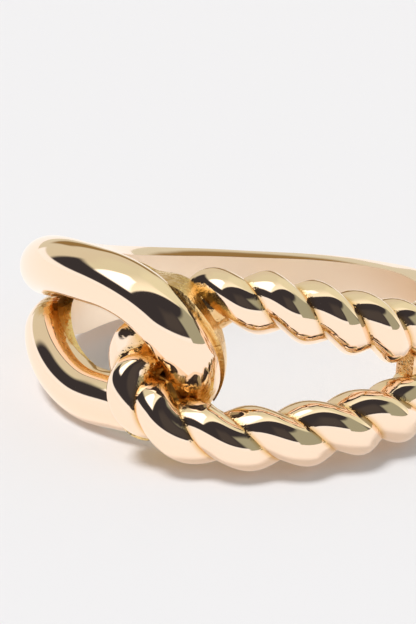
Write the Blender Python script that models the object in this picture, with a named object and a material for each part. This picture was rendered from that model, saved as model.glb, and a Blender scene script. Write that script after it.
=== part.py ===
"""Braided ring: a smooth loop and a rope loop hooked through each other, cast in one with a plain shank.

The ring is drawn upright on its own axis first: angles run round that axis from the middle of the
knot, which faces -Y, towards +X, and heights run along it. It is laid on its side at the end.
"""
import math
from collections import namedtuple

import bmesh
import bpy
import numpy as np
from mathutils import Matrix, Vector

MM = 0.001

# Finger hole and strands
FINGER_RADIUS = 8.65 * MM
ROPE_RADIUS = 1.60 * MM
SMOOTH_RADIUS = 1.42 * MM
STRAND_RISE = 1.0 * MM
CROSSING_LIFT = 1.3 * MM
CROSSING_FADE = 16.0 * MM

# Plan of a loop on the ring: a half ellipse round its closed end, then two legs that draw together
SMOOTH_SPREAD = 3.27 * MM
ROPE_SPREAD = 3.18 * MM
LOOP_SHIFT = 0.17 * MM
ROPE_TIP_ANGLE = math.radians(9.2)
SMOOTH_TIP_ANGLE = math.radians(7.1)
SMOOTH_LEAN = 0.5 * MM
ROPE_POINT = -0.08
SMOOTH_POINT = 0.07

# Twist of the rope
ROPE_LOBES = 2
LOBE_CENTRE = 0.44 * MM
LOBE_SPACING = 2.4 * MM

# Where the legs thin out and sink into the shoulders
LEG_SINK_ANGLE = math.radians(70.0)
LEG_END_THICKNESS = 0.58
LEG_END_DROP = 0.45 * MM

# Rails under the strands
RAIL_SINK = 0.15 * MM
RAIL_END_SHARE = 1.12
RAIL_LEG_SHARE = 0.45
RAIL_LEG_ANGLE = math.radians(12.0)
RAIL_SPARE = 0.02 * MM
ROPE_RAIL_INNER_SHARE = 0.5
ROPE_RAIL_KNOT_ANGLE = math.radians(16.0)

# Shank
SHANK_START_ANGLE = math.radians(82.0)
SHANK_WIDTH = 5.0 * MM
SHANK_THICKNESS = 2.4 * MM
SHANK_DOME = 0.35
SHANK_LEAN = 0.42 * MM

# How finely the solids are drawn
STRAND_STEP = 0.38 * MM
SMOOTH_STEP = 0.50 * MM
LOBE_POINTS = 12
SMOOTH_POINTS = 18
SHANK_STATIONS = 56
DOME_POINTS = 10
BORE_SIDES = 120
BORE_OVERCUT = 0.25 * MM

# Half the distance between a loop's legs, each row
# (degrees from the middle of the knot, then as shares of the loop's spread the smooth loop's upper leg,
# its lower leg, the rope's upper leg and its lower leg)
LEG_ROWS = (
    (19.5, 1.00, 1.00, 1.00, 1.00),
    (35.0, 0.95, 1.02, 0.93, 0.95),
    (50.0, 0.79, 0.86, 0.77, 0.85),
    (60.0, 0.64, 0.70, 0.65, 0.79),
    (70.0, 0.49, 0.53, 0.52, 0.76),
    (80.0, 0.39, 0.41, 0.41, 0.63),
    (90.0, 0.32, 0.33, 0.34, 0.47),
    (98.0, 0.30, 0.31, 0.31, 0.36),
)

LOOP_WIDEST_ANGLE = math.radians(LEG_ROWS[0][0])
LEG_END_ANGLE = math.radians(LEG_ROWS[-1][0])

# Twist of the rope along its run, each row
# (distance from the middle of its closed end as a share of LOBE_SPACING, lobes passed)
TWIST_ROWS = (
    (-10.42, -9.80),
    (-2.58, -2.00),
    (1.73, 2.00),
    (10.42, 9.15),
)

# Shank stations from its start to the middle of the back, each row
# (share of the way round, share of SHANK_WIDTH, share of SHANK_THICKNESS)
SHANK_ROWS = (
    (0.00, 0.92, 0.40),
    (0.10, 0.94, 0.70),
    (0.20, 0.85, 0.90),
    (0.30, 0.74, 0.92),
    (0.50, 0.65, 0.80),
    (0.65, 0.62, 0.69),
    (0.80, 0.585, 0.62),
    (1.00, 0.58, 0.58),
)

# A loop: half its width, how far its closed end reaches, how pointed that end is (0 is an ellipse), how far
# the end leans to the strand's lower crossing, its legs' columns in LEG_ROWS, and its stations' spacing
Loop = namedtuple("Loop", "spread tip_angle point lean upper lower step")
ROPE = Loop(ROPE_SPREAD, ROPE_TIP_ANGLE, ROPE_POINT, 0.0, 3, 4, STRAND_STEP)
SMOOTH = Loop(SMOOTH_SPREAD, SMOOTH_TIP_ANGLE, SMOOTH_POINT, SMOOTH_LEAN, 2, 1, SMOOTH_STEP)


def smooth_share(t):
    """Goes from 0 to 1 with no slope at either end."""
    t = np.clip(t, 0.0, 1.0)
    return t * t * (3.0 - 2.0 * t)


def on_ring(radius, angle, height):
    """Points in space from their distance to the ring's axis, angle and height."""
    return np.stack([radius * np.sin(angle), -radius * np.cos(angle), height + 0.0 * angle], axis=-1)


def hermite(xs, ys, at):
    """Smooth curve through a table's rows, level at both ends."""
    slopes = np.gradient(ys, xs)
    slopes[[0, -1]] = 0.0
    i = np.clip(np.searchsorted(xs, at, side="right") - 1, 0, len(xs) - 2)
    span = xs[i + 1] - xs[i]
    t = (at - xs[i]) / span
    start = ys[i] * (1.0 + 2.0 * t) * (1.0 - t) ** 2 + slopes[i] * span * t * (1.0 - t) ** 2
    end = ys[i + 1] * t * t * (3.0 - 2.0 * t) + slopes[i + 1] * span * t * t * (t - 1.0)
    return start + end


def leg_height(loop, angle, column):
    """Half the distance between the legs at an angle past the widest place."""
    rows = np.array(LEG_ROWS)
    return loop.spread * hermite(rows[:, 0], rows[:, column], np.degrees(angle))


def loop_plan(loop):
    """Angle and height along a loop whose legs run to +X, from the upper leg's end to the lower's."""
    leg_angle = np.linspace(LEG_END_ANGLE, LOOP_WIDEST_ANGLE, 400, endpoint=False)
    turn = np.linspace(0.5 * math.pi, -0.5 * math.pi, 600)
    reach = LOOP_WIDEST_ANGLE + loop.tip_angle
    point = (1.0 + loop.point * np.cos(turn) ** 2) / (1.0 + loop.point)
    end_angle = LOOP_WIDEST_ANGLE - reach * np.cos(turn) * point
    end_height = loop.spread * np.sin(turn) + loop.lean * np.cos(turn) ** 4
    upper = leg_height(loop, leg_angle, loop.upper)
    lower = -leg_height(loop, leg_angle[::-1], loop.lower)
    angle = np.concatenate([leg_angle, end_angle, leg_angle[::-1]])
    return angle, np.concatenate([upper, end_height, lower])


def lengths(points):
    """Distance run along a row of points."""
    steps = np.linalg.norm(np.diff(points, axis=0), axis=1)
    return np.concatenate([[0.0], np.cumsum(steps)])


def crossing_weave(angle, height):
    """Rise of the strand: 1 over the crossing on its lower leg, -1 under the one on its upper leg."""
    run = lengths(on_ring(FINGER_RADIUS + STRAND_RISE, angle, height))
    tip = np.argmin(angle)
    upper = np.arange(len(angle)) < tip
    from_tip = np.abs(run - run[tip])
    upper_arm = np.interp(0.0, angle[upper][::-1], from_tip[upper][::-1])
    lower_arm = np.interp(0.0, angle[~upper], from_tip[~upper])
    arm = np.where(upper, upper_arm, lower_arm)
    rise = np.sin(0.5 * math.pi * np.minimum(from_tip / arm, 1.0))
    fade = 1.0 - smooth_share((from_tip - arm) / CROSSING_FADE)
    return np.where(upper, -1.0, 1.0) * rise * fade


def leg_sink(angle):
    """0 on the loop itself and 1 at the ends of its legs."""
    return smooth_share((angle - LEG_SINK_ANGLE) / (LEG_END_ANGLE - LEG_SINK_ANGLE))


def loop_route(loop):
    """A loop's stations at even steps: distance run, angle, height, radius and size share."""
    angle, height = loop_plan(loop)
    weave = crossing_weave(angle, height)
    sink = leg_sink(angle)
    radius = FINGER_RADIUS + STRAND_RISE + CROSSING_LIFT * weave - LEG_END_DROP * sink
    share = 1.0 - (1.0 - LEG_END_THICKNESS) * sink
    run = lengths(on_ring(radius, angle, height))
    count = round(run[-1] / loop.step) + 1
    even = np.linspace(0.0, run[-1], count)
    columns = [np.interp(even, run, column) for column in (angle, height - LOOP_SHIFT, radius, share)]
    return even, *columns


def route_frames(angle, height, radius):
    """Place, outward direction and sideways direction at each station."""
    place = on_ring(radius, angle, height)
    along = np.gradient(place, axis=0)
    along /= np.linalg.norm(along, axis=1, keepdims=True)
    outward = on_ring(1.0, angle, 0.0)
    outward -= along * np.sum(outward * along, axis=1, keepdims=True)
    outward /= np.linalg.norm(outward, axis=1, keepdims=True)
    sideways = np.cross(along, outward)
    return place, outward, sideways


def rope_reach(turn):
    """Distance from the rope's middle to its surface, in a direction turned from a lobe's crest."""
    sector = 2.0 * math.pi / ROPE_LOBES
    off = (turn + 0.5 * sector) % sector - 0.5 * sector
    lobe_radius = ROPE_RADIUS - LOBE_CENTRE
    across = LOBE_CENTRE * np.sin(off)
    return LOBE_CENTRE * np.cos(off) + np.sqrt(lobe_radius ** 2 - across ** 2)


def rope_twist(run, angle):
    """Turn of the rope's first lobe at each station."""
    from_tip = (run - run[np.argmin(angle)]) / LOBE_SPACING
    rows = np.array(TWIST_ROWS)
    return 2.0 * math.pi / ROPE_LOBES * np.interp(from_tip, rows[:, 0], rows[:, 1])


def mesh_object(name, points, faces):
    """A mesh object of triangles, which stay flat where they are cut, turned outwards."""
    mesh = bpy.data.meshes.new(name)
    mesh.from_pydata([tuple(p) for p in points], [], faces)
    work = bmesh.new()
    work.from_mesh(mesh)
    bmesh.ops.triangulate(work, faces=work.faces)
    bmesh.ops.recalc_face_normals(work, faces=work.faces)
    work.to_mesh(mesh)
    work.free()
    made = bpy.data.objects.new(name, mesh)
    bpy.context.scene.collection.objects.link(made)
    return made


def loft(name, rows):
    """Skins rows of section points and caps both ends."""
    stations, count = rows.shape[:2]
    faces = []
    for i in range(stations - 1):
        here = i * count
        there = here + count
        for j in range(count):
            k = (j + 1) % count
            faces.append((here + j, here + k, there + k, there + j))
    faces.append(tuple(range(count)))
    faces.append(tuple(range((stations - 1) * count, stations * count)))
    return mesh_object(name, rows.reshape(-1, 3), faces)


def make_rope():
    """The rope strand: two round lobes that turn about its middle."""
    run, angle, height, radius, share = loop_route(ROPE)
    place, outward, sideways = route_frames(angle, height, radius)
    twist = rope_twist(run, angle)
    count = ROPE_LOBES * LOBE_POINTS
    turn = 2.0 * math.pi * np.arange(count) / count
    reach = rope_reach(turn)
    facing = twist[:, None] + turn[None, :]
    size = share[:, None, None] * reach[None, :, None]
    rows = place[:, None] + size * (
        np.cos(facing)[..., None] * outward[:, None] + np.sin(facing)[..., None] * sideways[:, None])
    return loft("rope_strand", rows)


def make_smooth():
    """The plain round strand, with its legs to -X."""
    run, angle, height, radius, share = loop_route(SMOOTH)
    place, outward, sideways = route_frames(-angle, -height, radius)
    turn = 2.0 * math.pi * np.arange(SMOOTH_POINTS) / SMOOTH_POINTS
    size = share[:, None, None] * SMOOTH_RADIUS
    rows = place[:, None] + size * (
        np.cos(turn)[None, :, None] * outward[:, None] + np.sin(turn)[None, :, None] * sideways[:, None])
    return loft("smooth_strand", rows)


def outer_share(angle):
    """Reach of a rail's outer wall as a share of the strand's: wide round the closed end, tucked in after it."""
    return RAIL_END_SHARE + (RAIL_LEG_SHARE - RAIL_END_SHARE) * smooth_share(angle / RAIL_LEG_ANGLE)


def rail_rows(angle, height, radius, left, right):
    """Four-cornered sections of a rail up into its strand, with walls straight out from the ring's axis."""
    middle = FINGER_RADIUS + STRAND_RISE
    flat = np.stack([middle * angle, height], axis=-1)
    along = np.gradient(flat, axis=0)
    along /= np.linalg.norm(along, axis=1, keepdims=True)
    across = np.stack([-along[:, 1], along[:, 0]], axis=-1)
    bottom = np.full_like(radius, FINGER_RADIUS - BORE_OVERCUT)
    top = np.maximum(radius - RAIL_SINK, FINGER_RADIUS - 0.5 * BORE_OVERCUT)
    corners = []
    for side, level in ((left, bottom), (left, top), (-right, top), (-right, bottom)):
        edge = flat + across * np.broadcast_to(side, angle.shape)[:, None]
        corners.append(on_ring(level, edge[:, 0] / middle, edge[:, 1]))
    return np.stack(corners, axis=1)


def make_rope_rail():
    """The rope's rail, scalloped as its lobes are and set back inside the loop past the knot."""
    run, angle, height, radius, share = loop_route(ROPE)
    twist = rope_twist(run, angle)
    crests = twist[:, None] + 2.0 * math.pi * np.arange(ROPE_LOBES)[None, :] / ROPE_LOBES
    inner, outer = (LOBE_CENTRE * np.max(sign * np.sin(crests), axis=1) + ROPE_RADIUS - LOBE_CENTRE
                    for sign in (1, -1))
    inner *= 1.0 - (1.0 - ROPE_RAIL_INNER_SHARE) * smooth_share(angle / ROPE_RAIL_KNOT_ANGLE)
    walls = (share * inner + RAIL_SPARE, share * outer * outer_share(angle))
    return loft("rope_rail", rail_rows(angle, height, radius, *walls))


def make_smooth_rail():
    """The smooth strand's rail, of even width."""
    run, angle, height, radius, share = loop_route(SMOOTH)
    half = share * SMOOTH_RADIUS
    walls = (half + RAIL_SPARE, half * outer_share(angle))
    return loft("smooth_rail", rail_rows(-angle, -height, radius, *walls))


def shank_sizes(way):
    """Width and thickness of the shank at shares of the way from its start to the back."""
    rows = np.array(SHANK_ROWS)
    curve = np.array([hermite(rows[:, 0], rows[:, column], way) for column in (1, 2)])
    return SHANK_WIDTH * curve[0], SHANK_THICKNESS * curve[1]


def make_shank():
    """The band round the back: flat inside, straight sides and a low dome outside."""
    angle = np.linspace(SHANK_START_ANGLE, 2.0 * math.pi - SHANK_START_ANGLE, SHANK_STATIONS)
    way = 1.0 - np.abs(angle - math.pi) / (math.pi - SHANK_START_ANGLE)
    width, thickness = shank_sizes(way)
    turn = np.linspace(0.0, math.pi, DOME_POINTS)
    rows = []
    for a, w, t in zip(angle, width, thickness):
        dome = SHANK_DOME * t
        lean = -SHANK_LEAN * math.sin(2.0 * a)
        radius = FINGER_RADIUS + (t - dome) + dome * np.sin(turn)
        height = 0.5 * w * np.cos(turn) + lean
        radius = np.concatenate([radius, [FINGER_RADIUS - BORE_OVERCUT] * 2])
        height = np.concatenate([height, [lean - 0.5 * w, lean + 0.5 * w]])
        rows.append(on_ring(radius, np.full_like(radius, a), height))
    return loft("shank", np.array(rows))


def make_bore():
    """The finger hole's cutter."""
    reach = 2.0 * (SMOOTH_SPREAD + ROPE_RADIUS)
    turn = 2.0 * math.pi * np.arange(BORE_SIDES) / BORE_SIDES
    rows = np.array([on_ring(FINGER_RADIUS, turn, height) for height in (-reach, reach)])
    return loft("bore", rows)


def combine(base, tool, operation):
    """Joins or cuts the base by a tool and takes the tool away."""
    change = base.modifiers.new(tool.name, "BOOLEAN")
    change.operation = operation
    change.solver = "MANIFOLD"
    change.object = tool
    bpy.context.view_layer.update()
    shape = base.evaluated_get(bpy.context.evaluated_depsgraph_get())
    mesh = bpy.data.meshes.new_from_object(shape)
    base.modifiers.clear()
    base.data = mesh
    bpy.data.objects.remove(tool, do_unlink=True)


def fill_hollows(mesh):
    """Keeps the outermost shell, so that pockets closed in under the crossings are solid."""
    work = bmesh.new()
    work.from_mesh(mesh)
    left = set(work.faces)
    shells = []
    while left:
        shell = []
        front = [left.pop()]
        while front:
            face = front.pop()
            shell.append(face)
            near = {other for edge in face.edges for other in edge.link_faces} & left
            left -= near
            front.extend(near)
        shells.append(shell)
    shells.sort(key=len)
    for shell in shells[:-1]:
        bmesh.ops.delete(work, geom=shell, context="FACES")
    work.to_mesh(mesh)
    work.free()


def corner_array(mesh):
    """The mesh's triangles as an array of corner points."""
    mesh.calc_loop_triangles()
    points = np.array([v.co[:] for v in mesh.vertices])
    picks = np.array([t.vertices[:] for t in mesh.loop_triangles])
    return points[picks]


def mass_centre(mesh):
    """Centre of mass of a closed mesh."""
    corners = corner_array(mesh)
    volumes = np.einsum("ij,ij->i", corners[:, 0], np.cross(corners[:, 1], corners[:, 2])) / 6.0
    return (corners.sum(axis=1) / 4.0 * volumes[:, None]).sum(axis=0) / volumes.sum()


def resting_turn(mesh):
    """The turn that lays the ring on the flat it would settle on, knot side raised."""
    centre = Vector(mass_centre(mesh))
    hull = bmesh.new()
    hull.from_mesh(mesh)
    made = bmesh.ops.convex_hull(hull, input=hull.verts, use_existing_faces=False)
    best = None
    for face in made["geom"]:
        if not isinstance(face, bmesh.types.BMFace) or face.calc_area() <= 0.0:
            continue
        normal = face.normal
        if normal.dot(face.calc_center_median() - centre) < 0.0:
            normal = -normal
        foot = centre + normal * normal.dot(face.verts[0].co - centre)
        if bmesh.geometry.intersect_face_point(face, foot) and (best is None or normal.z < best.z):
            best = normal.copy()
    hull.free()
    return best.rotation_difference(Vector((0.0, 0.0, -1.0))).to_matrix()


def lay_down(ring):
    """Turns the ring onto its side and sets it on the floor, centred on the origin."""
    mesh = ring.data
    mesh.transform(resting_turn(mesh).to_4x4())
    points = np.array([v.co[:] for v in mesh.vertices])
    low = points.min(axis=0)
    high = points.max(axis=0)
    mesh.transform(Matrix.Translation((-0.5 * (low[0] + high[0]), -0.5 * (low[1] + high[1]), -low[2])))


def gold():
    """Polished yellow gold."""
    material = bpy.data.materials.new("polished_gold")
    material.use_nodes = True
    shader = material.node_tree.nodes["Principled BSDF"]
    shader.inputs["Base Color"].default_value = (0.90, 0.62, 0.30, 1.0)
    shader.inputs["Metallic"].default_value = 1.0
    shader.inputs["Roughness"].default_value = 0.08
    return material


def main():
    for old in list(bpy.data.objects):
        bpy.data.objects.remove(old, do_unlink=True)
    ring = make_shank()
    ring.name = "ring"
    for make in (make_smooth_rail, make_rope_rail, make_smooth, make_rope):
        combine(ring, make(), "UNION")
    combine(ring, make_bore(), "DIFFERENCE")
    fill_hollows(ring.data)
    lay_down(ring)
    ring.data.materials.clear()
    ring.data.materials.append(gold())
    ring.data.shade_smooth()
    ring.data.set_sharp_from_angle(angle=math.radians(32.0))


main()
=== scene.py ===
# %% [markdown]
# # A braided ring in polished gold
# This notebook dresses one cast ring. A smooth loop of round wire and a loop of twisted rope hook
# through each other, and a plain band runs round the back of the finger.
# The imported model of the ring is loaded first. It stays where it is, and everything that follows is
# drawn round it in metres.

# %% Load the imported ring
import math
from collections import namedtuple

import bmesh
import bpy
import numpy as np
from mathutils import Matrix, Vector
from mathutils.bvhtree import BVHTree
from mathutils.kdtree import KDTree


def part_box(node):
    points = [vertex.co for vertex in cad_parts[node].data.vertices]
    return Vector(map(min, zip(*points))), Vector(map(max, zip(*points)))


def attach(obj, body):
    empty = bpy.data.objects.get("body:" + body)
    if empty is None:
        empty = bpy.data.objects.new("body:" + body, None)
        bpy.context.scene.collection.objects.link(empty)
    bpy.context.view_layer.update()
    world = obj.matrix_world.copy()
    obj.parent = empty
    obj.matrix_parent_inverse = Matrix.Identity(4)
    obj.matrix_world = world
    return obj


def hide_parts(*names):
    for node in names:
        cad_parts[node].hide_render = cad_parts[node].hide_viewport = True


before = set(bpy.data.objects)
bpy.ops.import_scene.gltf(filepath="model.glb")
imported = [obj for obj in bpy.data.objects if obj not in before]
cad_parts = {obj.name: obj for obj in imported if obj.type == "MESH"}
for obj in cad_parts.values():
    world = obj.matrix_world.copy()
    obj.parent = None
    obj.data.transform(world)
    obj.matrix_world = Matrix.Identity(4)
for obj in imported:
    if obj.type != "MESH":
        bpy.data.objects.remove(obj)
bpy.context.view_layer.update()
print("nodes:", sorted(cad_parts))

# %% [markdown]
# ## The ring's sizes
# A jeweller starts from the finger. Its radius comes first, then the thickness of the two strands
# and how far the knot spreads up and down the finger. The shapes are drawn on the ring standing
# upright round its own axis: an angle goes round the finger from the middle of the knot, and a
# height goes along it. The model has the same sizes, so the finished surface lies where the model
# is.

# %% Sizes in metres
MM = 0.001
FINGER_RADIUS = 8.65 * MM
ROPE_RADIUS = 1.60 * MM
SMOOTH_RADIUS = 1.42 * MM
# The middle of a strand runs this far off the finger, rises or sinks by this much at a crossing,
# and is level again this far past it
STRAND_RISE = 1.0 * MM
CROSSING_LIFT = 1.3 * MM
CROSSING_FADE = 16.0 * MM
# Half the distance between a loop's legs at its widest, and how far each loop sits to the side of
# the leg that crosses over
SMOOTH_SPREAD = 3.27 * MM
ROPE_SPREAD = 3.18 * MM
LOOP_SHIFT = 0.17 * MM
# From this angle on the legs thin down to this share and sink by this much
LEG_SINK_ANGLE = math.radians(70.0)
LEG_END_THICKNESS = 0.58
LEG_END_DROP = 0.45 * MM

# Half the distance between a loop's legs: degrees from the middle of the knot, then as shares of
# the loop's spread the smooth loop's upper and lower leg and the rope's upper and lower leg
LEG_ROWS = np.array((
    (19.5, 1.00, 1.00, 1.00, 1.00),
    (35.0, 0.95, 1.02, 0.93, 0.95),
    (50.0, 0.79, 0.86, 0.77, 0.85),
    (60.0, 0.64, 0.70, 0.65, 0.79),
    (70.0, 0.49, 0.53, 0.52, 0.76),
    (80.0, 0.39, 0.41, 0.41, 0.63),
    (90.0, 0.32, 0.33, 0.34, 0.47),
    (98.0, 0.30, 0.31, 0.31, 0.36),
))
LOOP_WIDEST_ANGLE = math.radians(LEG_ROWS[0, 0])
LEG_END_ANGLE = math.radians(LEG_ROWS[-1, 0])
print("finger hole", round(2 * FINGER_RADIUS / MM, 2), "mm across")

# %% [markdown]
# ## The path of a loop
# Each loop is a strand bent like a hairpin. Seen from outside it is half an ellipse round its
# closed end, and then two legs that draw together as they run to the back. Where it crosses the
# other loop it rides over on one leg and dips under on the other.
# A curve drawn by hand could do this, but the two loops have to weave into each other exactly, so
# the path is worked out from the angle round the finger and kept at even steps.

# %% Curves on the ring
def smooth_share(t):
    """Goes from 0 to 1 with no slope at either end."""
    t = np.clip(t, 0.0, 1.0)
    return t * t * (3.0 - 2.0 * t)


def on_ring(radius, angle, height):
    """Points in space from their distance to the ring's axis, angle and height."""
    return np.stack([radius * np.sin(angle), -radius * np.cos(angle), height + 0.0 * angle],
                    axis=-1)


def through_rows(xs, ys, at):
    """A smooth curve through a table's rows, level at both ends."""
    slopes = np.gradient(ys, xs)
    slopes[[0, -1]] = 0.0
    i = np.clip(np.searchsorted(xs, at, side="right") - 1, 0, len(xs) - 2)
    span = xs[i + 1] - xs[i]
    t = (at - xs[i]) / span
    start = ys[i] * (1.0 + 2.0 * t) * (1.0 - t) ** 2 + slopes[i] * span * t * (1.0 - t) ** 2
    end = ys[i + 1] * t * t * (3.0 - 2.0 * t) + slopes[i + 1] * span * t * t * (t - 1.0)
    return start + end


def lengths(points):
    """Distance run along a row of points."""
    steps = np.linalg.norm(np.diff(points, axis=0), axis=1)
    return np.concatenate([[0.0], np.cumsum(steps)])


# %% One loop, seen flat
# Tip angle: how far the closed end reaches past the middle of the knot. Point: how pinched (+) or
# blunt (-) the end is. Lean: how far it leans to the leg that dips under. Upper, lower: columns of
# LEG_ROWS. Step: from one station to the next.
Loop = namedtuple("Loop", "spread tip_angle point lean upper lower step")
ROPE = Loop(ROPE_SPREAD, math.radians(9.2), -0.08, 0.0, 3, 4, 0.11 * MM)
SMOOTH = Loop(SMOOTH_SPREAD, math.radians(7.1), 0.07, 0.5 * MM, 2, 1, 0.14 * MM)
LEG_STATIONS = 400
END_STATIONS = 600


def loop_plan(loop):
    """Angle and height along a loop, legs to +X, from the upper leg's end to the lower's."""
    leg_angle = np.linspace(LEG_END_ANGLE, LOOP_WIDEST_ANGLE, LEG_STATIONS, endpoint=False)
    turn = np.linspace(0.5 * math.pi, -0.5 * math.pi, END_STATIONS)
    reach = LOOP_WIDEST_ANGLE + loop.tip_angle
    point = (1.0 + loop.point * np.cos(turn) ** 2) / (1.0 + loop.point)
    end_angle = LOOP_WIDEST_ANGLE - reach * np.cos(turn) * point
    end_height = loop.spread * np.sin(turn) + loop.lean * np.cos(turn) ** 4
    spread = [loop.spread * through_rows(LEG_ROWS[:, 0], LEG_ROWS[:, column], np.degrees(leg_angle))
              for column in (loop.upper, loop.lower)]
    angle = np.concatenate([leg_angle, end_angle, leg_angle[::-1]])
    return angle, np.concatenate([spread[0], end_height, -spread[1][::-1]])


# %% Weave it over and under, and thin its legs
def crossing_weave(angle, height):
    """Rise of the strand: 1 over the crossing on its lower leg, -1 under the one on its upper."""
    run = lengths(on_ring(FINGER_RADIUS + STRAND_RISE, angle, height))
    tip = np.argmin(angle)
    upper = np.arange(len(angle)) < tip
    from_tip = np.abs(run - run[tip])
    upper_arm = np.interp(0.0, angle[upper][::-1], from_tip[upper][::-1])
    lower_arm = np.interp(0.0, angle[~upper], from_tip[~upper])
    arm = np.where(upper, upper_arm, lower_arm)
    rise = np.sin(0.5 * math.pi * np.minimum(from_tip / arm, 1.0))
    fade = 1.0 - smooth_share((from_tip - arm) / CROSSING_FADE)
    return np.where(upper, -1.0, 1.0) * rise * fade


def loop_route(loop):
    """A loop's stations at even steps: distance run, angle, height, radius and size share."""
    angle, height = loop_plan(loop)
    sink = smooth_share((angle - LEG_SINK_ANGLE) / (LEG_END_ANGLE - LEG_SINK_ANGLE))
    lift = CROSSING_LIFT * crossing_weave(angle, height) - LEG_END_DROP * sink
    radius = FINGER_RADIUS + STRAND_RISE + lift
    share = 1.0 - (1.0 - LEG_END_THICKNESS) * sink
    run = lengths(on_ring(radius, angle, height))
    even = np.linspace(0.0, run[-1], round(run[-1] / loop.step) + 1)
    columns = (angle, height - LOOP_SHIFT, radius, share)
    return even, *[np.interp(even, run, column) for column in columns]


rope_route = loop_route(ROPE)
smooth_route = loop_route(SMOOTH)
for name, route in (("rope", rope_route), ("smooth", smooth_route)):
    print(name, "loop:", round(route[0][-1] / MM, 1), "mm of strand")

# %% [markdown]
# ## Two strands swept along their paths
# On the real ring the smooth loop is round wire and the rope is two round lobes twisted about each
# other. Both are a section carried along a path, so one Geometry Nodes tree sweeps them: it draws
# the section from the number of lobes, turns it as it travels by the twist stored on the path, and
# thins it towards the legs' ends. With one lobe the section is a plain circle.
# The path carries three values at each point: the direction away from the finger, which keeps the
# section from rolling, the twist, and the size.

# %% A short helper for nodes
def add_node(tree, kind, feeds=(), **settings):
    """Adds a node. Feeds go to its inputs, by name or place, and are sockets or values.
    A setting is the node's own, or else the value of the input with that name."""
    node = tree.nodes.new(kind)
    for name, value in settings.items():
        if hasattr(node, name):
            setattr(node, name, value)
        else:
            node.inputs[name.replace("_", " ")].default_value = value
    for place, source in dict(feeds).items():
        if isinstance(source, bpy.types.NodeSocket):
            tree.links.new(source, node.inputs[place])
        else:
            node.inputs[place].default_value = source
    return node


# %% The tree that sweeps a strand
# Reach of the section from its middle, worked out from the angle off the nearest lobe's crest. Each
# step is its result's name, what is done, and what it is done to.
REACH_STEPS = (
    ("half sector", "DIVIDE", math.pi, "Lobes"),
    ("minus half", "MULTIPLY", "half sector", -1.0),
    ("off", "WRAP", "turn", "half sector", "minus half"),
    ("sine", "SINE", "off"),
    ("across", "MULTIPLY", "Lobe Centre", "sine"),
    ("across squared", "MULTIPLY", "across", "across"),
    ("radius squared", "MULTIPLY", "Lobe Radius", "Lobe Radius"),
    ("depth squared", "SUBTRACT", "radius squared", "across squared"),
    ("depth", "SQRT", "depth squared"),
    ("cosine", "COSINE", "off"),
    ("reach", "MULTIPLY_ADD", "Lobe Centre", "cosine", "depth"),
)


def strand_tree():
    """Sweeps a lobed section along the path that comes in."""
    tree = bpy.data.node_groups.new("swept strand", "GeometryNodeTree")
    for name, kind in (("Path", "Geometry"), ("Lobes", "Int"), ("Lobe Centre", "Float"),
                       ("Lobe Radius", "Float"), ("Section Points", "Int"), ("Metal", "Material")):
        tree.interface.new_socket(name, in_out="INPUT", socket_type="NodeSocket" + kind)
    tree.interface.new_socket("Strand", in_out="OUTPUT", socket_type="NodeSocketGeometry")
    given = add_node(tree, "NodeGroupInput").outputs
    points, metal = given["Section Points"], given["Metal"]

    # The section, a circle whose points move in or out
    circle = add_node(tree, "GeometryNodeCurvePrimitiveCircle", {"Resolution": points}, Radius=1.0)
    index = add_node(tree, "GeometryNodeInputIndex").outputs[0]
    turn = add_node(tree, "ShaderNodeMapRange", {"Value": index, "From Max": points},
                    To_Max=2.0 * math.pi).outputs[0]
    known = {name: given[name] for name in ("Lobes", "Lobe Centre", "Lobe Radius")}
    known["turn"] = turn
    for name, operation, *terms in REACH_STEPS:
        feeds = {place: known.get(term, term) for place, term in enumerate(terms)}
        known[name] = add_node(tree, "ShaderNodeMath", feeds, operation=operation).outputs[0]
    straight = add_node(tree, "ShaderNodeCombineXYZ", {"X": known["reach"]}).outputs[0]
    place = add_node(tree, "ShaderNodeVectorRotate", {"Vector": straight, "Angle": turn},
                     rotation_type="Z_AXIS").outputs[0]
    section = add_node(tree, "GeometryNodeSetPosition",
                       {"Geometry": circle.outputs[0], "Position": place}).outputs[0]

    # The path, with its outward direction, twist and size
    carried = {
        name: add_node(tree, "GeometryNodeInputNamedAttribute", data_type=kind,
                       Name=name).outputs["Attribute"]
        for name, kind in (("outward", "FLOAT_VECTOR"), ("twist", "FLOAT"), ("share", "FLOAT"))}
    path = add_node(tree, "GeometryNodeMeshToCurve", {"Mesh": given["Path"]}).outputs[0]
    path = add_node(tree, "GeometryNodeSetCurveNormal",
                    {"Curve": path, "Normal": carried["outward"]}, mode="FREE").outputs[0]
    path = add_node(tree, "GeometryNodeSetCurveTilt",
                    {"Curve": path, "Tilt": carried["twist"]}).outputs[0]
    sweep = add_node(tree, "GeometryNodeCurveToMesh",
                     {"Curve": path, "Profile Curve": section, "Scale": carried["share"],
                      "Fill Caps": True}).outputs[0]
    real = add_node(tree, "GeometryNodeRealizeInstances", {"Geometry": sweep}).outputs[0]
    dressed = add_node(tree, "GeometryNodeSetMaterial", {"Geometry": real, "Material": metal})
    add_node(tree, "NodeGroupOutput", {"Strand": dressed.outputs[0]})
    return tree


STRAND_TREE = strand_tree()
print("strand tree:", len(STRAND_TREE.nodes), "nodes")
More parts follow.
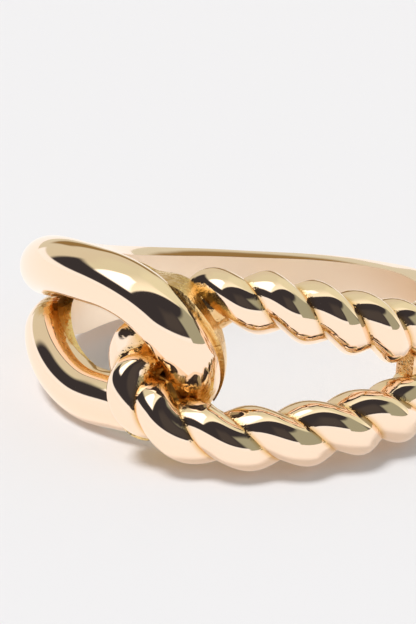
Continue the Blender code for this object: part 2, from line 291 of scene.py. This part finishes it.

# %% [markdown]
# ## Three finishes of one gold
# The ring is plated in pale yellow gold, of the tint of 14 carat. Polished metal has no colour of
# its own but the tint it gives to what it mirrors, so its look comes from the studio round it.
# Such strands are usually polished by hand on a felt wheel, which leaves them slightly wavy. The
# wheel can't reach the low walls under them, which keep the grain of the mould, and the inside of
# the band has only the satin of emery paper.
# One function makes all three, because it is one metal. The low walls under the strands get a deeper
# tint of it, which is painted shade, and the inside of the band a paler one, which is painted light.
# In the seams the light goes from gold to gold and comes back deeper; that is painted shade here,
# mixed into the gold's colour, and small pits are left that the wheel didn't reach. A value on the
# mesh says how closed in a spot is, and it deepens the colour with painted shade, and dulls and pits
# the gold there.

# %% Colours
def from_hex(code, strength=1.0):
    """An sRGB hex colour as the linear colour that shaders take."""
    parts = [int(code[i:i + 2], 16) / 255.0 for i in (1, 3, 5)]
    linear = [c / 12.92 if c <= 0.04045 else ((c + 0.055) / 1.055) ** 2.4 for c in parts]
    return [strength * c for c in linear] + [1.0]


# %% Gold, as polished, as cast or as satin
# Pits that casting leaves are usually under 0.1 mm wide. They are drawn wider, so that they show
PIT_SIZE = 0.28 * MM
PIT_DEPTH = 0.055 * MM
# How much the grain varies the roughness, as a share of the roughness in the open
GRAIN_BLUR = 0.6


def gold(name, open_colour, painted_seam_shade, shine, ripple, ripple_height, grain, grain_height):
    """Shine is the roughness in the open and in the seams. Ripple and grain are sizes in metres."""
    metal = bpy.data.materials.new(name)
    metal.use_nodes = True
    tree = metal.node_tree
    shader = tree.nodes["Principled BSDF"]
    shader.inputs["Metallic"].default_value = 1.0
    place = add_node(tree, "ShaderNodeTexCoord").outputs["Object"]
    closed = add_node(tree, "ShaderNodeAttribute", attribute_name="closed_in").outputs["Fac"]
    # Painted shade: the colour goes from the open tint to the deeper seam tint as a spot is closed in
    tint = add_node(tree, "ShaderNodeMix", {0: closed, 6: from_hex(open_colour),
                                            7: from_hex(painted_seam_shade)}, data_type="RGBA")
    ripples, grains, pits = (
        add_node(tree, "ShaderNodeTexNoise", {"Vector": place}, Scale=1.0 / size, Detail=detail)
        for size, detail in ((ripple, 1.0), (grain, 3.0), (PIT_SIZE, 2.0)))
    blur = add_node(tree, "ShaderNodeMapRange",
                    {"Value": closed, "To Min": shine[0], "To Max": shine[1]})
    blur = add_node(tree, "ShaderNodeMath", {0: grains.outputs[0], 1: GRAIN_BLUR * shine[0],
                                             2: blur.outputs[0]}, operation="MULTIPLY_ADD")
    waves = add_node(tree, "ShaderNodeBump", {"Height": ripples.outputs[0]}, Strength=1.0,
                     Distance=ripple_height)
    rough = add_node(tree, "ShaderNodeBump", {"Height": grains.outputs[0],
                                              "Normal": waves.outputs[0]},
                     Strength=1.0, Distance=grain_height)
    pitted = add_node(tree, "ShaderNodeBump", {"Height": pits.outputs[0],
                                               "Normal": rough.outputs[0], "Strength": closed},
                      Distance=PIT_DEPTH)
    tree.links.new(tint.outputs[2], shader.inputs["Base Color"])
    tree.links.new(blur.outputs[0], shader.inputs["Roughness"])
    tree.links.new(pitted.outputs[0], shader.inputs["Normal"])
    return metal


# Felt-wheel polish: sharp mirror images that bend softly over about 2 mm
POLISHED = gold("polished_gold", "#FFE7D0", "#E9C084", shine=(0.035, 0.12),
                ripple=2.2 * MM, ripple_height=0.010 * MM,
                grain=0.12 * MM, grain_height=0.0002 * MM)
# As cast: a mould's grain is usually about 0.05 mm. It is drawn at 0.3 mm, so that it shows as a
# broken, sandy glitter. Its tint, deeper than the polished gold's, is painted shade under the strands
AS_CAST = gold("cast_gold", "#F9DBA0", "#EDC680", shine=(0.16, 0.28),
               ripple=1.2 * MM, ripple_height=0.05 * MM,
               grain=0.30 * MM, grain_height=0.045 * MM)
# Emery satin inside the band: images are only soft patches of light. Its tint, paler than the
# polished gold's, is painted light in the band's shaded inside
SATIN = gold("satin_gold", "#FFEEDA", "#F6DDB0", shine=(0.27, 0.34),
             ripple=2.0 * MM, ripple_height=0.01 * MM,
             grain=0.10 * MM, grain_height=0.001 * MM)
print("finishes:", [metal.name for metal in (POLISHED, AS_CAST, SATIN)])

# %% Small tools for meshes
# Points of one piece closer than this, in metres, are one point
TOUCHING = 1e-7


def new_object(name, points, faces, edges=()):
    """A mesh object in the scene."""
    mesh = bpy.data.meshes.new(name)
    mesh.from_pydata([tuple(p) for p in points], list(edges), faces)
    made = bpy.data.objects.new(name, mesh)
    bpy.context.scene.collection.objects.link(made)
    return made


def face_outwards(mesh):
    """Splits a closed mesh into triangles and turns them outwards."""
    work = bmesh.new()
    work.from_mesh(mesh)
    bmesh.ops.remove_doubles(work, verts=work.verts, dist=TOUCHING)
    bmesh.ops.triangulate(work, faces=work.faces)
    bmesh.ops.recalc_face_normals(work, faces=work.faces)
    work.to_mesh(mesh)
    work.free()


def apply_modifiers(thing):
    """Makes a plain mesh of what an object's modifiers make of it."""
    bpy.context.view_layer.update()
    seen = thing.evaluated_get(bpy.context.evaluated_depsgraph_get())
    mesh = bpy.data.meshes.new_from_object(seen)
    thing.modifiers.clear()
    thing.data = mesh


# %% The rope's twist
ROPE_LOBES = 2
LOBE_CENTRE = 0.44 * MM
LOBE_SPACING = 2.4 * MM
# Distance from the middle of the rope's closed end as a share of LOBE_SPACING, and lobes passed
TWIST_ROWS = np.array(((-10.42, -9.80), (-2.58, -2.00), (1.73, 2.00), (10.42, 9.15)))


def rope_twist(run, angle):
    """Turn of the rope's first lobe at each station."""
    from_tip = (run - run[np.argmin(angle)]) / LOBE_SPACING
    return 2.0 * math.pi / ROPE_LOBES * np.interp(from_tip, TWIST_ROWS[:, 0], TWIST_ROWS[:, 1])


twist = rope_twist(*rope_route[:2])
print("the rope turns", round((twist[-1] - twist[0]) / (2.0 * math.pi), 1), "times")

# %% Sweep both strands
SECTION_POINTS = 48


def sweep_strand(name, route, side, twist, **sizes):
    """Sweeps a strand along a route; side -1 puts its legs to -X."""
    run, angle, height, radius, share = route
    place = on_ring(radius, side * angle, side * height)
    along = np.gradient(place, axis=0)
    along /= np.linalg.norm(along, axis=1, keepdims=True)
    outward = on_ring(1.0, side * angle, 0.0)
    outward -= along * np.sum(outward * along, axis=1, keepdims=True)
    outward /= np.linalg.norm(outward, axis=1, keepdims=True)
    strand = new_object(name, place, [], [(i, i + 1) for i in range(len(place) - 1)])
    for key, kind, slot, values in (("outward", "FLOAT_VECTOR", "vector", outward),
                                    ("twist", "FLOAT", "value", twist),
                                    ("share", "FLOAT", "value", share)):
        stored = strand.data.attributes.new(key, kind, "POINT")
        stored.data.foreach_set(slot, np.ravel(values).astype(np.float32))
    change = strand.modifiers.new("sweep", "NODES")
    change.node_group = STRAND_TREE
    named = {item.name: item.identifier for item in STRAND_TREE.interface.items_tree
             if item.in_out == "INPUT"}
    for key, value in sizes.items():
        change[named[key.replace("_", " ")]] = value
    apply_modifiers(strand)
    face_outwards(strand.data)
    print(name, len(strand.data.polygons), "triangles")
    return strand


rope = sweep_strand("rope_strand", rope_route, 1, twist, Lobes=ROPE_LOBES,
                    Lobe_Centre=LOBE_CENTRE, Lobe_Radius=ROPE_RADIUS - LOBE_CENTRE,
                    Section_Points=SECTION_POINTS, Metal=POLISHED)
smooth = sweep_strand("smooth_strand", smooth_route, -1, np.zeros(len(smooth_route[0])), Lobes=1,
                      Lobe_Centre=0.0, Lobe_Radius=SMOOTH_RADIUS,
                      Section_Points=SECTION_POINTS, Metal=POLISHED)

# %% [markdown]
# ## Rails under the strands
# Between the strands and the finger the casting has low walls that follow each strand. The rope's
# wall is scalloped as its lobes are, and the smooth one is even. They are skins stretched over rows
# of sections, in mesh code, because each section depends on the strand above it.

# %% Loft a skin over rows of sections
def loft(name, rows):
    """Skins rows of section points and caps both ends."""
    stations, count = rows.shape[:2]
    faces = []
    for here in range(0, (stations - 1) * count, count):
        for j in range(count):
            k = (j + 1) % count
            faces.append((here + j, here + k, here + count + k, here + count + j))
    faces += [tuple(range(count)), tuple(range((stations - 1) * count, stations * count))]
    made = new_object(name, rows.reshape(-1, 3), faces)
    face_outwards(made.data)
    return made


# %% The walls of a rail
# A rail ends this far below the middle of its strand, inside it, and starts this far inside the
# finger hole, where it is cut
RAIL_SINK = 0.15 * MM
BORE_OVERCUT = 0.25 * MM
# Reach of the outer wall as a share of the strand's: round the closed end, and under the legs
RAIL_END_SHARE = 1.12
RAIL_LEG_SHARE = 0.45
RAIL_LEG_ANGLE = math.radians(12.0)


def outer_share(angle):
    """Reach of a rail's outer wall: wide round the closed end, tucked in under the legs."""
    return RAIL_END_SHARE + (RAIL_LEG_SHARE - RAIL_END_SHARE) * smooth_share(angle / RAIL_LEG_ANGLE)


def rail(name, side, route, left, right):
    """A rail from inside the finger hole up into its strand."""
    angle, height, radius = (side * route[1], side * route[2], route[3])
    middle = FINGER_RADIUS + STRAND_RISE
    flat = np.stack([middle * angle, height], axis=-1)
    along = np.gradient(flat, axis=0)
    along /= np.linalg.norm(along, axis=1, keepdims=True)
    across = np.stack([-along[:, 1], along[:, 0]], axis=-1)
    bottom = np.full_like(radius, FINGER_RADIUS - BORE_OVERCUT)
    top = np.maximum(radius - RAIL_SINK, FINGER_RADIUS - 0.5 * BORE_OVERCUT)
    corners = []
    for reach, level in ((left, bottom), (left, top), (-right, top), (-right, bottom)):
        edge = flat + across * reach[:, None]
        corners.append(on_ring(level, edge[:, 0] / middle, edge[:, 1]))
    return loft(name, np.stack(corners, axis=1))


# %% Both rails
# The inner walls stand this little past their strand's side, so that they meet it at a clear edge
RAIL_SPARE = 0.02 * MM
# Along the legs the rope's inner wall draws in to this share of its full reach, by this angle
ROPE_RAIL_INNER_SHARE = 0.5
ROPE_RAIL_KNOT_ANGLE = math.radians(16.0)

crests = twist[:, None] + 2.0 * math.pi * np.arange(ROPE_LOBES)[None, :] / ROPE_LOBES
inner, outer = (LOBE_CENTRE * np.max(sign * np.sin(crests), axis=1) + ROPE_RADIUS - LOBE_CENTRE
                for sign in (1, -1))
past_knot = smooth_share(rope_route[1] / ROPE_RAIL_KNOT_ANGLE)
inner *= 1.0 - (1.0 - ROPE_RAIL_INNER_SHARE) * past_knot
rope_rail = rail("rope_rail", 1, rope_route, rope_route[4] * inner + RAIL_SPARE,
                 rope_route[4] * outer * outer_share(rope_route[1]))
smooth_half = smooth_route[4] * SMOOTH_RADIUS
smooth_rail = rail("smooth_rail", -1, smooth_route, smooth_half + RAIL_SPARE,
                   smooth_half * outer_share(smooth_route[1]))
print("rails:", [len(piece.data.polygons) for piece in (rope_rail, smooth_rail)], "triangles")

# %% [markdown]
# ## The shank
# The plain band is flat against the finger and softly domed outside. It starts wide under the legs'
# ends and narrows to the back. Its sides lean in a little, as filed sides do. It is a skin over
# sections as well, because its width and its thickness change all the way round.

# %% Loft the shank
SHANK_START_ANGLE = math.radians(82.0)
SHANK_WIDTH = 5.0 * MM
SHANK_THICKNESS = 2.4 * MM
# The dome's share of the thickness, how far the band swings to the side on its way round, and how
# wide it is inside against outside
SHANK_DOME = 0.35
SHANK_LEAN = 0.42 * MM
SHANK_INNER_SHARE = 0.9
SHANK_STATIONS = 260
SHANK_DOME_POINTS = 33
# Share of the way round to the back, share of SHANK_WIDTH, share of SHANK_THICKNESS
SHANK_ROWS = np.array((
    (0.00, 0.92, 0.40),
    (0.10, 0.94, 0.70),
    (0.20, 0.85, 0.90),
    (0.30, 0.74, 0.92),
    (0.50, 0.65, 0.80),
    (0.65, 0.62, 0.69),
    (0.80, 0.585, 0.62),
    (1.00, 0.58, 0.58),
))


def make_shank():
    """The band round the back."""
    rows = []
    turn = np.linspace(0.0, math.pi, SHANK_DOME_POINTS)
    for angle in np.linspace(SHANK_START_ANGLE, 2.0 * math.pi - SHANK_START_ANGLE, SHANK_STATIONS):
        way = 1.0 - abs(angle - math.pi) / (math.pi - SHANK_START_ANGLE)
        width, thickness = (size * through_rows(SHANK_ROWS[:, 0], SHANK_ROWS[:, column], way)
                            for size, column in ((SHANK_WIDTH, 1), (SHANK_THICKNESS, 2)))
        lean = -SHANK_LEAN * math.sin(2.0 * angle)
        radius = FINGER_RADIUS + thickness * (1.0 - SHANK_DOME + SHANK_DOME * np.sin(turn))
        height = 0.5 * width * np.cos(turn) + lean
        radius = np.concatenate([radius, [FINGER_RADIUS - BORE_OVERCUT] * 2])
        inside = 0.5 * SHANK_INNER_SHARE * width
        height = np.concatenate([height, [lean - inside, lean + inside]])
        rows.append(on_ring(radius, np.full_like(radius, angle), height))
    return loft("shank", np.array(rows))


shank = make_shank()
print("shank", len(shank.data.polygons), "triangles")

# %% [markdown]
# ## One casting
# A caster would join the waxes before pouring. Here the pieces are joined by solid union, and the
# finger hole is cut through all of them in one go, which leaves the clean, crisp edge of a real
# bore. Each face keeps the finish of the piece it comes from, and the bore's wall has that of the
# cutter.

# %% Join the pieces and cut the finger hole
BORE_SIDES = 720
BORE_REACH = 9.7 * MM


def combine(base, tool, operation):
    """Joins or cuts the base by a tool and takes the tool away."""
    change = base.modifiers.new(tool.name, "BOOLEAN")
    change.operation = operation
    change.solver = "MANIFOLD"
    change.material_mode = "TRANSFER"
    change.object = tool
    apply_modifiers(base)
    bpy.data.objects.remove(tool, do_unlink=True)


turn = 2.0 * math.pi * np.arange(BORE_SIDES) / BORE_SIDES
bore = loft("bore", np.array([on_ring(FINGER_RADIUS, turn, height)
                              for height in (-BORE_REACH, BORE_REACH)]))
ring = shank
ring.name = "braided_ring"
for piece, finish in ((ring, POLISHED), (smooth_rail, AS_CAST), (rope_rail, AS_CAST),
                      (bore, SATIN)):
    piece.data.materials.append(finish)
for piece in (smooth_rail, rope_rail, smooth, rope):
    combine(ring, piece, "UNION")
combine(ring, bore, "DIFFERENCE")
print("joined:", len(ring.data.polygons), "faces")

# %% Fill the pockets and close the surface
# Points closer than this, in metres, were cut twice in the same place
SAME_PLACE = 1e-8


def clean_casting(mesh):
    """Removes pockets closed in under the crossings, and merges points that coincide."""
    work = bmesh.new()
    work.from_mesh(mesh)
    left = set(work.faces)
    shells = []
    while left:
        shell = []
        front = [left.pop()]
        while front:
            face = front.pop()
            shell.append(face)
            near = {other for edge in face.edges for other in edge.link_faces} & left
            left -= near
            front.extend(near)
        shells.append(shell)
    shells.sort(key=len)
    for shell in shells[:-1]:
        bmesh.ops.delete(work, geom=shell, context="FACES")
    bmesh.ops.triangulate(work, faces=work.faces)
    bmesh.ops.remove_doubles(work, verts=work.verts, dist=SAME_PLACE)
    print("edges without two faces:", sum(len(edge.link_faces) != 2 for edge in work.edges))
    work.to_mesh(mesh)
    work.free()


clean_casting(ring.data)
counts = np.bincount([p.material_index for p in ring.data.polygons])
print("casting:", len(ring.data.polygons), "triangles,", counts, "by finish")

# %% [markdown]
# ## How closed in each spot is
# The wheel can't follow the seams between the strands, so the polish there is duller, and the gold
# there is painted a deeper tint, a painted shade for the light that goes from gold to gold in them.
# Short rays are sent out from each point of the surface. The share of them that meets gold again
# says how closed in the spot is, and it needs no painting by hand. The creases between the rope's
# lobes are too open for that, so what lies close to a fold in the surface counts as well, and these
# folds get the painted shade too. The finger hole and the plain band have no folds, only thin slivers
# that look like them.

# %% Find the folds
# An edge that bends inwards by more than this is a fold, and it is felt this far
FOLD_ANGLE = math.radians(18.0)
FOLD_REACH = 0.28 * MM
# Rise above the finger up to which a point belongs to the hole, and where the plain band starts
BORE_EDGE = 0.3 * MM
BAND_START = 0.25 * FINGER_RADIUS


def near_folds(mesh, reach):
    """For each vertex, 1 on a fold between the strands, falling to 0 at the reach from it."""
    work = bmesh.new()
    work.from_mesh(mesh)
    plain = {v.index for v in work.verts
             if v.co.xy.length < FINGER_RADIUS + BORE_EDGE or v.co.y > BAND_START}
    folds = {v.index for edge in work.edges if edge.calc_face_angle_signed(0.0) < -FOLD_ANGLE
             for v in edge.verts} - plain
    work.free()
    tree = KDTree(len(folds))
    for i in folds:
        tree.insert(mesh.vertices[i].co, i)
    tree.balance()
    print(len(folds), "points on folds")
    return smooth_share(1.0 - np.array([tree.find(v.co)[2] for v in mesh.vertices]) / reach)


# %% Send out the rays and store the result on the mesh
SEAM_REACH = 1.3 * MM
RAY_COUNT = 14
RAY_LIFT = 0.02 * MM
# From one ray to the next, in radians: the golden angle spreads them evenly
RAY_SPIN = 2.4
# Share of rays that meet gold below which a spot is open, and from which it is fully closed in
OPEN_SHARE = 0.06
CLOSED_SHARE = 0.46


def store_closed_in(mesh):
    """Writes the closed_in attribute: 0 in the open and 1 deep in a seam."""
    points = np.array([v.co[:] for v in mesh.vertices])
    normals = np.array([v.normal[:] for v in mesh.vertices])
    tree = BVHTree.FromPolygons(points.tolist(), [p.vertices[:] for p in mesh.polygons])
    away = np.sqrt((np.arange(RAY_COUNT) + 0.5) / RAY_COUNT)
    spin = RAY_SPIN * np.arange(RAY_COUNT)
    # Any direction that isn't close to the normal will do to start the two level axes
    aside = np.where(np.abs(normals[:, 2:]) < 0.7, (0.0, 0.0, 1.0), (1.0, 0.0, 0.0))
    level = np.cross(normals, aside)
    level /= np.linalg.norm(level, axis=1, keepdims=True) + 1e-12
    side = np.cross(normals, level)
    starts = (points + RAY_LIFT * normals).tolist()
    hits = np.zeros(len(points))
    for r, a in zip(away, spin):
        rays = r * math.cos(a) * level + r * math.sin(a) * side + math.sqrt(1.0 - r * r) * normals
        hits += [tree.ray_cast(start, ray, SEAM_REACH)[0] is not None
                 for start, ray in zip(starts, rays.tolist())]
    share = smooth_share((hits / RAY_COUNT - OPEN_SHARE) / (CLOSED_SHARE - OPEN_SHARE))
    closed = np.maximum(share, near_folds(mesh, FOLD_REACH))
    # The value also paints shade: it deepens the gold's colour in the seams and on the folds
    stored = mesh.attributes.new("closed_in", "FLOAT", "POINT")
    stored.data.foreach_set("value", closed.astype(np.float32))
    return closed


closed = store_closed_in(ring.data)
print("closed in:", round(100 * float(np.mean(closed > 0.5))), "% of", len(closed), "points")

# %% [markdown]
# ## At rest on the floor
# A ring let go on a table lies on its side, on the lowest points of the knot and the shank. The
# direction that ends up pointing down is the model's own. The box of the turned ring is then set on
# the floor and centred, as the model is. It stands for the model's own ring, which is hidden.

# %% Lay the ring down
RING_DOWN = Vector((-0.0140, 0.1710, -0.9852))
# Edges that bend more than this stay crisp
SHARP_ANGLE = math.radians(32.0)

rest_turn = RING_DOWN.normalized().rotation_difference(Vector((0.0, 0.0, -1.0))).to_matrix()
ring.data.transform(rest_turn.to_4x4())
corners = np.array([v.co[:] for v in ring.data.vertices])
low, high = corners.min(axis=0), corners.max(axis=0)
model_low, model_high = (np.array(corner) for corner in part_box("ring"))
off_centre = 0.5 * (model_low + model_high) - 0.5 * (low + high)
rest_shift = Vector((*off_centre[:2], model_low[2] - low[2]))
ring.data.transform(Matrix.Translation(rest_shift))
ring.data.shade_smooth()
ring.data.set_sharp_from_angle(angle=SHARP_ANGLE)
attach(ring, "root")
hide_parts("ring")
print("moved by", [round(c / MM, 3) for c in rest_shift], "mm")

# %% [markdown]
# ## The studio
# A jewellery photographer works in a white tent. The floor is a plain sheet, pale and even, and it
# is what the lower half of the gold mirrors. To the rays that the gold mirrors, the sheet is a
# darker grey with a painted glow of its own, so that the gold mirrors it pale even where the ring
# shades it. The lens is set so that it sees the sheet just under white.

# %% Floor
FLOOR_RADIUS = 900.0 * MM
FLOOR_SIDES = 96


def make_floor():
    """A wide sheet that the camera never sees the end of."""
    around = 2.0 * math.pi * np.arange(FLOOR_SIDES) / FLOOR_SIDES
    points = [(FLOOR_RADIUS * math.cos(a), FLOOR_RADIUS * math.sin(a), 0.0) for a in around]
    sheet = new_object("floor", points, [tuple(range(FLOOR_SIDES))])
    # Matt paper: it spreads light evenly and mirrors nothing
    paper = bpy.data.materials.new("matt_paper_with_painted_glow")
    paper.use_nodes = True
    tree = paper.node_tree
    shader = tree.nodes["Principled BSDF"]
    shader.inputs["Roughness"].default_value = 0.9
    shader.inputs["Emission Strength"].default_value = 1.0
    direct = add_node(tree, "ShaderNodeLightPath").outputs["Is Camera Ray"]
    # Painted glow: to rays the gold mirrors, the paper is darker and glows warm, though it is no lamp
    for socket, mirrored, straight in (
            ("Base Color", from_hex("#C2C1C2"), from_hex("#E6E5E6")),
            ("Emission Color", from_hex("#FFF6EC", 0.43), from_hex("#000000"))):
        tone = add_node(tree, "ShaderNodeMix", {0: direct, 6: mirrored, 7: straight},
                        data_type="RGBA")
        tree.links.new(tone.outputs[2], shader.inputs[socket])
    sheet.data.materials.append(paper)


make_floor()

# %% [markdown]
# Above the floor, polished gold shows the whole room as pale and dark shapes, and that contrast is
# what makes it read as metal. A white diffuser hangs overhead and behind the ring, a softbox stands
# to the left, and the side towards the lens is dark. Real cards could be modelled, but they would
# stand in the way of other views, so they are painted on the world, each by its direction from the
# ring.

# %% A card of light or shade
def card_tree():
    """Lays a card with a soft border over what is behind it. Directions are azimuth and elevation
    in degrees."""
    tree = bpy.data.node_groups.new("card", "ShaderNodeTree")
    for name, kind in (("Direction", "Vector"), ("Middle", "Vector"), ("Half Size", "Vector"),
                       ("Soft", "Float"), ("Light", "Color"), ("Behind", "Color")):
        tree.interface.new_socket(name, in_out="INPUT", socket_type="NodeSocket" + kind)
    tree.interface.new_socket("Seen", in_out="OUTPUT", socket_type="NodeSocketColor")
    given = add_node(tree, "NodeGroupInput").outputs
    off = given["Direction"]
    for operation, *terms in (("SUBTRACT", given["Middle"]), ("WRAP", (180.0,) * 3, (-180.0,) * 3),
                              ("ABSOLUTE",), ("SUBTRACT", given["Half Size"])):
        feeds = {place: term for place, term in enumerate([off, *terms])}
        off = add_node(tree, "ShaderNodeVectorMath", feeds, operation=operation).outputs[0]
    sides = add_node(tree, "ShaderNodeSeparateXYZ", {0: off}).outputs
    past = add_node(tree, "ShaderNodeMath", {0: sides[0], 1: sides[1], 2: given["Soft"]},
                    operation="SMOOTH_MAX").outputs[0]
    past = add_node(tree, "ShaderNodeMath", {0: past, 1: given["Soft"]},
                    operation="DIVIDE").outputs[0]
    # From bare to covered within one width of the soft border
    cover = add_node(tree, "ShaderNodeMapRange", {"Value": past}, From_Min=0.5, From_Max=-0.5,
                     interpolation_type="SMOOTHSTEP").outputs[0]
    seen = add_node(tree, "ShaderNodeMix", {0: cover, 6: given["Behind"], 7: given["Light"]},
                    data_type="RGBA")
    add_node(tree, "NodeGroupOutput", {"Seen": seen.outputs[2]})
    return tree


CARD_TREE = card_tree()
print("card tree:", len(CARD_TREE.nodes), "nodes")

# %% The room, as directions from the ring
def direction_to(azimuth, elevation):
    """A unit direction. Azimuth 0 is the side of the lens, and + is to the right of it."""
    return Vector((math.sin(azimuth) * math.cos(elevation),
                   -math.cos(azimuth) * math.cos(elevation), math.sin(elevation)))


STUDIO_TURN = math.radians(22.76)
DARK_ROOM = "#39373B"
# Cards from the back of the room to the front: azimuth and elevation of the middle, half width and
# half height, and soft border, all in degrees, then colour and brightness
ROOM = (
    ("right wall", 132.0, 42.0, 26.0, 30.0, 16.0, "#E8E8CA", 1.0),
    ("back wall", -155.0, 14.0, 38.0, 34.0, 18.0, "#DAD5BE", 1.0),
    ("shelf", 180.0, 14.5, 20.0, 7.0, 5.0, "#93794C", 1.0),
    ("tripod", 25.0, 30.0, 25.0, 18.0, 16.0, "#4B4746", 1.0),
    ("curtain", 86.0, 14.0, 31.0, 25.0, 8.0, "#A5A893", 1.0),
    ("gap", -85.0, 15.0, 43.0, 20.0, 7.0, DARK_ROOM, 1.0),
    ("softbox", -72.0, 56.0, 23.0, 21.0, 7.0, "#FFFFFF", 1.7),
    ("floor sheet's edge", -47.0, -8.0, 104.0, 15.0, 3.0, "#FFFFFF", 1.04),
)
# The dark side of the room covers what comes before it in the list, up to this card
LAST_BEHIND_BORDER = "shelf"
# The diffuser's border towards the lens, by the direction square to it, into the diffuser. Along
# it the border is at 0 and the direction itself at 1. The border is this soft, and the diffuser is
# brightest up to the first of two places past it and even from the second
BORDER_INWARD = direction_to(math.radians(212.0), math.radians(15.0))
BORDER_SOFTNESS = 0.025
BORDER_BRIGHT_TO, BORDER_EVEN_FROM = 0.02, 0.5
# Brightness of the even glow on the floor
FLOOR_GLOW = 0.50

# %% Paint the room
ROUND_STEPS = (
    ("front", "MULTIPLY", "y", -1.0),
    ("round", "ARCTAN2", "x", "front"),
    ("azimuth", "DEGREES", "round"),
    ("up", "ARCSINE", "z"),
    ("elevation", "DEGREES", "up"),
)


def make_world():
    """Paints the room, card by card."""
    world = bpy.data.worlds.new("tent_and_cards")
    world.use_nodes = True
    bpy.context.scene.world = world
    tree = world.node_tree
    look = add_node(tree, "ShaderNodeTexCoord").outputs["Generated"]
    turned = add_node(tree, "ShaderNodeVectorRotate", {"Vector": look}, rotation_type="Z_AXIS",
                      Angle=-STUDIO_TURN).outputs[0]
    axes = add_node(tree, "ShaderNodeSeparateXYZ", {0: turned}).outputs
    known = {"x": axes[0], "y": axes[1], "z": axes[2]}
    for name, operation, *terms in ROUND_STEPS:
        feeds = {place: known.get(term, term) for place, term in enumerate(terms)}
        known[name] = add_node(tree, "ShaderNodeMath", feeds, operation=operation).outputs[0]
    direction = add_node(tree, "ShaderNodeCombineXYZ",
                         {0: known["azimuth"], 1: known["elevation"]}).outputs[0]

    # The diffuser, brightest along its border, and the dark room past it
    past = add_node(tree, "ShaderNodeVectorMath", {0: turned, 1: BORDER_INWARD},
                    operation="DOT_PRODUCT").outputs["Value"]
    inward = add_node(tree, "ShaderNodeMapRange", {"Value": past}, From_Min=BORDER_BRIGHT_TO,
                      From_Max=BORDER_EVEN_FROM, interpolation_type="SMOOTHSTEP").outputs[0]
    light = add_node(tree, "ShaderNodeMix", {0: inward, 6: from_hex("#FFFCE6", 1.1),
                                             7: from_hex("#DEDDC2")}, data_type="RGBA").outputs[2]
    for name, azimuth, elevation, half_width, half_height, soft, colour, strength in ROOM:
        light = add_node(tree, "ShaderNodeGroup", {
            "Direction": direction, "Middle": (azimuth, elevation, 0.0),
            "Half Size": (half_width, half_height, 0.0), "Soft": soft,
            "Light": from_hex(colour, strength), "Behind": light},
            node_tree=CARD_TREE, label=name).outputs[0]
        if name == LAST_BEHIND_BORDER:
            in_tent = add_node(tree, "ShaderNodeMapRange", {"Value": past},
                               From_Min=-BORDER_SOFTNESS, From_Max=BORDER_SOFTNESS,
                               interpolation_type="SMOOTHSTEP").outputs[0]
            light = add_node(tree, "ShaderNodeMix", {0: in_tent, 6: from_hex(DARK_ROOM), 7: light},
                             data_type="RGBA").outputs[2]

    # The cards light the gold. The floor gets an even glow, and the lens itself sees a plain pale
    # backdrop.
    rays = add_node(tree, "ShaderNodeLightPath").outputs
    for kind, colour in (("Is Diffuse Ray", from_hex("#FFFFFF", FLOOR_GLOW)),
                         ("Is Camera Ray", from_hex("#F1EFF1"))):
        light = add_node(tree, "ShaderNodeMix", {0: rays[kind], 6: light, 7: colour},
                         data_type="RGBA").outputs[2]
    tree.links.new(light, tree.nodes["Background"].inputs["Color"])
    print("room:", len(ROOM), "cards")


make_world()

# %% A soft lamp over the floor, from the left
LAMP_FROM = (math.radians(-84.0), math.radians(66.0))
LAMP_ANGLE = math.radians(20.0)
LAMP_STRENGTH = 2.21


def make_lamp():
    """Lights the floor. The gold doesn't mirror it, as it hangs behind the diffuser."""
    lamp = bpy.data.lights.new("overhead", "SUN")
    lamp.angle = LAMP_ANGLE
    lamp.energy = LAMP_STRENGTH
    hung = bpy.data.objects.new("overhead", lamp)
    towards = direction_to(LAMP_FROM[0] + STUDIO_TURN, LAMP_FROM[1])
    hung.matrix_world = towards.to_track_quat("Z", "Y").to_matrix().to_4x4()
    hung.visible_glossy = False
    bpy.context.scene.collection.objects.link(hung)


make_lamp()

# %% [markdown]
# ## The camera
# The photograph was taken from a little above, with a long lens, so the ring's circle is a flat
# ellipse and its far side is hardly smaller than its near side.

# %% Camera
CAMERA_AZIMUTH = math.radians(22.82)
CAMERA_ELEVATION = math.radians(23.05)
CAMERA_ROLL = math.radians(1.23)
CAMERA_DISTANCE = 400.0 * MM
PIXELS_PER_MM = 20.2
RING_PIXEL = (245.9, 318.3)
FRAME_SIZE = (416, 624)
SENSOR_WIDTH = 36.0


def make_camera():
    """A long lens at the photograph's angle, aimed so that the ring's middle falls on its pixel."""
    back = direction_to(CAMERA_AZIMUTH, CAMERA_ELEVATION)
    level = Vector((math.cos(CAMERA_AZIMUTH), math.sin(CAMERA_AZIMUTH), 0.0))
    upright = back.cross(level)
    right = level * math.cos(CAMERA_ROLL) + upright * math.sin(CAMERA_ROLL)
    up = back.cross(right)
    aside = (FRAME_SIZE[0] / 2 - RING_PIXEL[0]) / PIXELS_PER_MM * MM
    above = (RING_PIXEL[1] - FRAME_SIZE[1] / 2) / PIXELS_PER_MM * MM
    place = rest_shift + back * CAMERA_DISTANCE + right * aside + up * above
    lens = bpy.data.cameras.new("long_lens")
    # The sensor's width lies along the longer side of the picture, here its height
    lens.sensor_width = SENSOR_WIDTH
    lens.lens = SENSOR_WIDTH * PIXELS_PER_MM / MM * CAMERA_DISTANCE / FRAME_SIZE[1]
    lens.clip_start = 0.01
    lens.clip_end = 10.0
    camera = bpy.data.objects.new("camera", lens)
    camera.matrix_world = (Matrix.Translation(place)
                           @ Matrix((right, up, back)).transposed().to_4x4())
    bpy.context.scene.collection.objects.link(camera)
    bpy.context.scene.camera = camera
    print("lens", round(lens.lens), "mm")


make_camera()
bpy.context.scene.view_settings.view_transform = "Standard"
